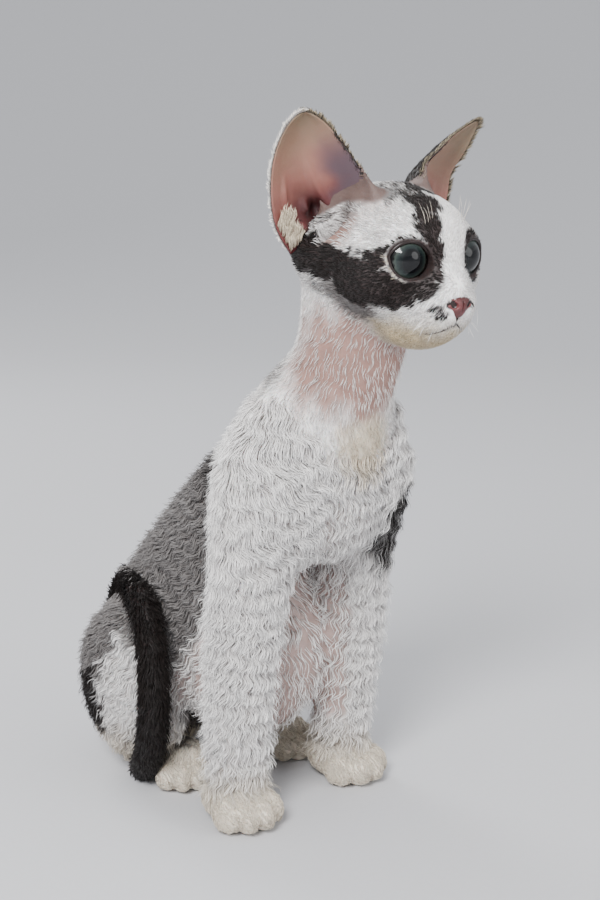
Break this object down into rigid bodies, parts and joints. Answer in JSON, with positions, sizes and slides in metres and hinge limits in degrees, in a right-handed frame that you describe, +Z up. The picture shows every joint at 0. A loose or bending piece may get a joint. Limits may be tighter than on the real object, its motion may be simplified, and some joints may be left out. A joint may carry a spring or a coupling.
{
  "type": "devon rex cat",
  "caption": "Life-size seated Devon Rex kitten with very large ears, slender neck, wavy coat on chest and forelegs, and a tail laid over the haunch.",
  "frame": {"origin": "on the floor, under the middle of the kitten's bounding box", "axes": "+Z up, -Y the way the chest faces, +X the kitten's left"},
  "size_m": [0.0994, 0.209, 0.2795],
  "materials": {
    "coat_patched": "short matt fur in dark and white patches",
    "coat_white": "short wavy matt fur",
    "coat_cream": "short matt fur",
    "coat_grey": "short matt fur, mottled",
    "coat_black": "short plush fur",
    "skin_pink": "thinly haired skin",
    "ear_skin": "thin bare skin inside, short fur behind",
    "nose_leather": "moist pebbled skin",
    "eye": "wet and clear over a slate iris"
  },
  "bodies": {
    "root": {"head": "coat_patched", "nose": "nose_leather", "eye_right": "eye", "eye_left": "eye", "ear_right": "ear_skin", "ear_left": "ear_skin", "neck": "skin_pink", "torso": "coat_white", "foreleg_right": "coat_white", "foreleg_left": "coat_white", "forepaw_right": "coat_cream", "forepaw_left": "coat_cream", "thigh_right": "coat_grey", "thigh_left": "coat_grey", "hindfoot_right": "coat_cream", "hindfoot_left": "coat_cream", "tail_1": "coat_black", "tail_2": "coat_black", "tail_3": "coat_black"}
  },
  "joints": []
}
